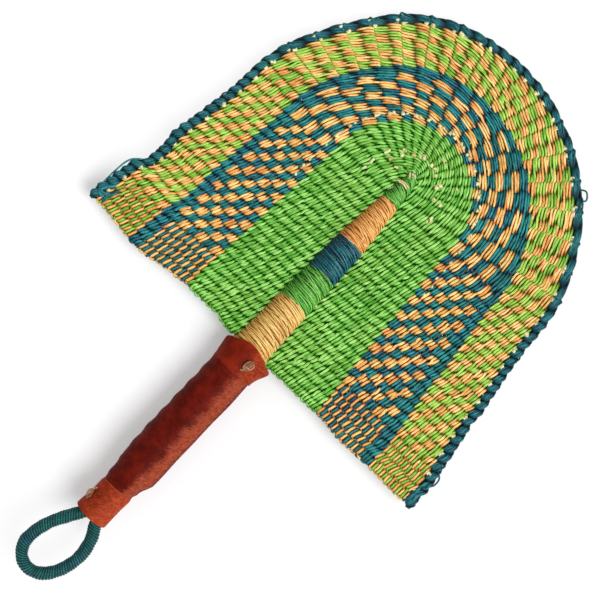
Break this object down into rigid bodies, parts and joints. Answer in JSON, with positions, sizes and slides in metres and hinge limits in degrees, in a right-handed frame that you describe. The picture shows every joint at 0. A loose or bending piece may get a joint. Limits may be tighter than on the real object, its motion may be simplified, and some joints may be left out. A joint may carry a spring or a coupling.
{
  "type": "woven hand fan",
  "caption": "Flat D-shaped hand fan of twined coloured straw on a tapering bundled rib, with a leather-wrapped handle and a wound hanging loop.",
  "frame": {"origin": "on the table under the middle of the fan without its hanging loop, at the height of the handle collar's lowest face", "axes": "+Y from the handle to the crown of the blade, +X to the right seen from the front, +Z out of the blade's front face"},
  "size_m": [0.2828, 0.4398, 0.031],
  "materials": {
    "natural_straw": "undyed straw with a soft sheen",
    "green_straw": "dyed bright green straw, soft sheen",
    "teal_straw": "dyed dark teal straw, soft sheen",
    "band_green_straw": "yellowish green and orange straw, soft sheen",
    "orange_straw": "dyed orange straw, soft sheen",
    "yellow_straw": "golden straw, soft sheen",
    "brown_leather": "dark red-brown wrapped leather, worn and polished by hands",
    "red_leather": "lighter red-brown leather",
    "knot_straw": "brown straw knots"
  },
  "bodies": {
    "fan": {"handle_bundle": "natural_straw", "green_field": "green_straw", "checker_band": "teal_straw", "outer_band": "band_green_straw", "rim_braid": "teal_straw", "short_stake_01": "natural_straw", "short_stake_02": "natural_straw", "short_stake_03": "natural_straw", "short_stake_04": "natural_straw", "short_stake_05": "natural_straw", "short_stake_06": "natural_straw", "short_stake_07": "natural_straw", "short_stake_08": "natural_straw", "short_stake_09": "natural_straw", "short_stake_10": "natural_straw", "short_stake_11": "natural_straw", "short_stake_12": "natural_straw", "short_stake_13": "natural_straw", "short_stake_14": "natural_straw", "short_stake_15": "natural_straw", "short_stake_16": "natural_straw", "short_stake_17": "natural_straw", "short_stake_18": "natural_straw", "short_stake_19": "natural_straw", "short_stake_20": "natural_straw", "straw_winding": "yellow_straw", "green_winding": "green_straw", "teal_winding": "teal_straw", "orange_winding": "orange_straw", "tip_winding": "green_straw", "leather_sleeve": "brown_leather", "top_collar": "red_leather", "lower_collar": "red_leather", "top_knot": "knot_straw", "lower_knot": "knot_straw"},
    "loop": {"loop_cord": "natural_straw", "loop_winding": "teal_straw"}
  },
  "joints": [
    {"name": "loop_tilt", "type": "hinge", "parent": "fan", "child": "loop", "pos_m": [-0.00115, -0.19145, 0.01468], "axis": [1, 0, 0], "range_deg": [-35, 35], "stiffness_Nm_per_rad": 0.02}
  ]
}
